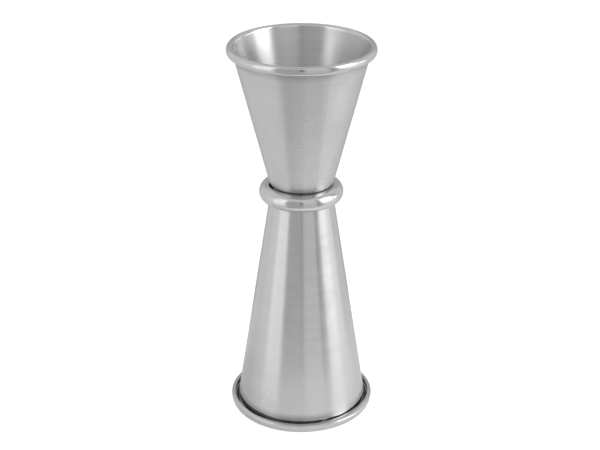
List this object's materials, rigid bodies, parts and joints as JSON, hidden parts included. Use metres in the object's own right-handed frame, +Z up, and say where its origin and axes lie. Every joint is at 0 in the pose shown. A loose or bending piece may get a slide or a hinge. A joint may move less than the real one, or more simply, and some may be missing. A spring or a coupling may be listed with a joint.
{
  "type": "bar jigger",
  "caption": "Double-ended cocktail measure in brushed steel: a tall cup and a short cup joined foot to foot, with rolled rims and a rounded ring at the waist.",
  "frame": {"origin": "centre of the circle that the large cup's rolled rim stands on", "axes": "+Z up along the axis of both cups, from the large cup's mouth to the small cup's mouth; X and Y are equivalent round the axis"},
  "size_m": [0.045, 0.045, 0.119],
  "materials": {
    "cup_steel": "stainless steel, satin-brushed round the axis",
    "ring_steel": "stainless steel, smoother than the cups, with a soft polish",
    "weld_metal": "bare spot-weld metal, slightly heat-tinted"
  },
  "bodies": {
    "root": {"large_cup": "cup_steel", "small_cup": "cup_steel", "waist_ring": "ring_steel", "foot_spot_weld_1": "weld_metal", "foot_spot_weld_2": "weld_metal", "foot_spot_weld_3": "weld_metal"}
  },
  "joints": []
}
